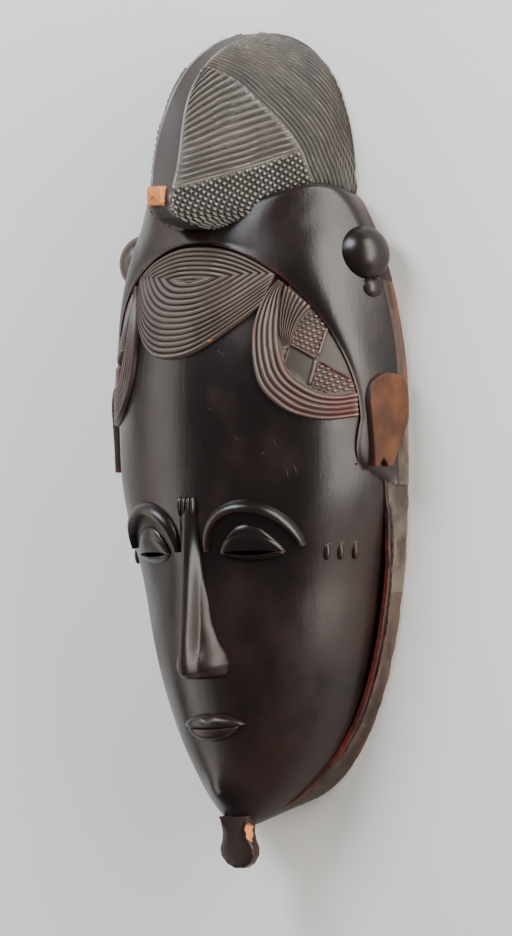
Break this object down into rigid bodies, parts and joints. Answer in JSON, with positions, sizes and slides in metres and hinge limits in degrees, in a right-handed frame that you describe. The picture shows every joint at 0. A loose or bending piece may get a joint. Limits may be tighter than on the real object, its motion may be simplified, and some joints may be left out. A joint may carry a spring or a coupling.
{
  "type": "baule face mask",
  "caption": "Carved wooden face mask with an egg-shaped face, combed hair lobes, a shouldered hood, side buns, ears, a tall prow crest and a hollow back.",
  "frame": {"origin": "centre of the mask's bounding box, on the plane of its flat back", "axes": "+Z out of the face, +Y up the face towards the crest, +X to the viewer's right. The mask lies on its back."},
  "size_m": [0.1846, 0.43, 0.091],
  "materials": {
    "mask": "glossy black-brown patina, worn to red-brown on sharp edges"
  },
  "bodies": {
    "root": {"mask": "mask"}
  },
  "joints": []
}
